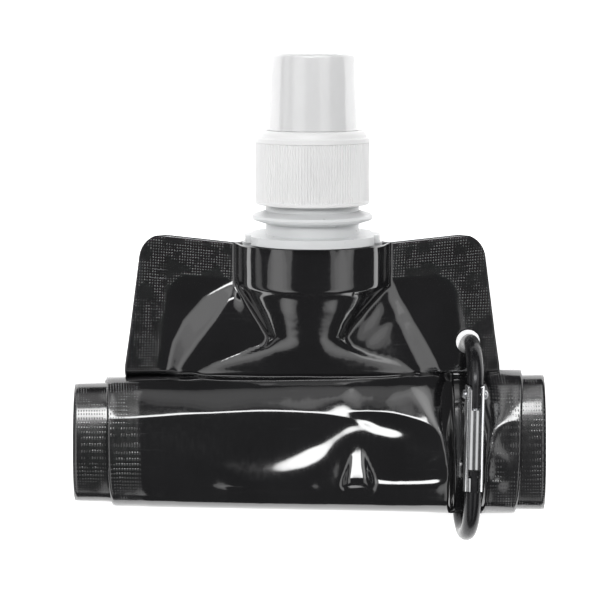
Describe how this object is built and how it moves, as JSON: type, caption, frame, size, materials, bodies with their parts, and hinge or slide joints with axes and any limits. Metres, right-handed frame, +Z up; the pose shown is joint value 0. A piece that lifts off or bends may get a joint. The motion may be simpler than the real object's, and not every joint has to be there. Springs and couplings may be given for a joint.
{
  "type": "folding water bottle",
  "caption": "Empty foldable drinking pouch rolled up from its base, with a screw cap, push-pull nozzle, clear dust cover and a small carabiner that holds the roll.",
  "frame": {"origin": "centre of the bottle's footprint, on the surface that it lies on", "axes": "+X across the pouch, towards the side with the carabiner; +Y towards the spout; +Z up from the surface that the bottle lies on, on its back"},
  "size_m": [0.1186, 0.1224, 0.0347],
  "materials": {
    "film": "glossy laminated film with knurled heat seals",
    "frosted": "translucent natural polyethylene",
    "white": "semi-gloss white polypropylene",
    "clear": "clear polypropylene, slightly hazy",
    "foam": "closed-cell sealing foam",
    "anodised": "black anodised",
    "gate_alloy": "bright drawn, lightly scratched",
    "steel": "bright zinc"
  },
  "bodies": {
    "pouch": {"front_film": "film", "back_film": "film", "base_gusset": "film", "spout": "frosted"},
    "liner": {"cap_liner": "foam"},
    "cap": {"cap_collar": "white"},
    "nozzle": {"valve_nozzle": "white"},
    "cover": {"dust_cover": "clear"},
    "carabiner": {"carabiner_body": "anodised", "gate_rivet": "steel"},
    "gate": {"carabiner_gate": "gate_alloy", "gate_spring": "steel"},
    "plunger": {"gate_plunger": "steel"}
  },
  "joints": [
    {"name": "cap_rise", "type": "slide", "parent": "pouch", "child": "liner", "axis": [0, 0.9885, 0.1513], "range_m": [0, 0.00451]},
    {"name": "cap_turn", "type": "hinge", "parent": "liner", "child": "cap", "pos_m": [0.0007, 0.03159, 0.01948], "axis": [0, 0.9885, 0.1513], "range_deg": [0, 540]},
    {"name": "nozzle_pull", "type": "slide", "parent": "cap", "child": "nozzle", "axis": [0, 0.9885, 0.1513], "range_m": [0, 0.004]},
    {"name": "cover_pull", "type": "slide", "parent": "cap", "child": "cover", "axis": [0, 0.9885, 0.1513], "range_m": [0, 0.022]},
    {"name": "carabiner_swing", "type": "hinge", "parent": "pouch", "child": "carabiner", "pos_m": [0.0404, -0.0113, 0.01249], "axis": [0, 0, 1], "range_deg": [-2.5, 3.5]},
    {"name": "gate_open", "type": "hinge", "parent": "carabiner", "child": "gate", "pos_m": [0.04066, -0.02406, 0.02292], "axis": [0.9984, -0.0227, -0.0523], "range_deg": [0, 12], "stiffness_Nm_per_rad": 0.01, "springref_deg": -11.46},
    {"name": "plunger_slide", "type": "slide", "parent": "gate", "child": "plunger", "axis": [-0.0227, -0.9997, 0], "range_m": [0, 0.00036], "deforming": ["gate_spring"]}
  ],
  "couplings": [
    {"joint": "cap_rise", "follows": "cap_turn", "m_per_rad": 0.00047746},
    {"joint": "plunger_slide", "follows": "gate_open", "m_per_rad": 0.0016}
  ]
}
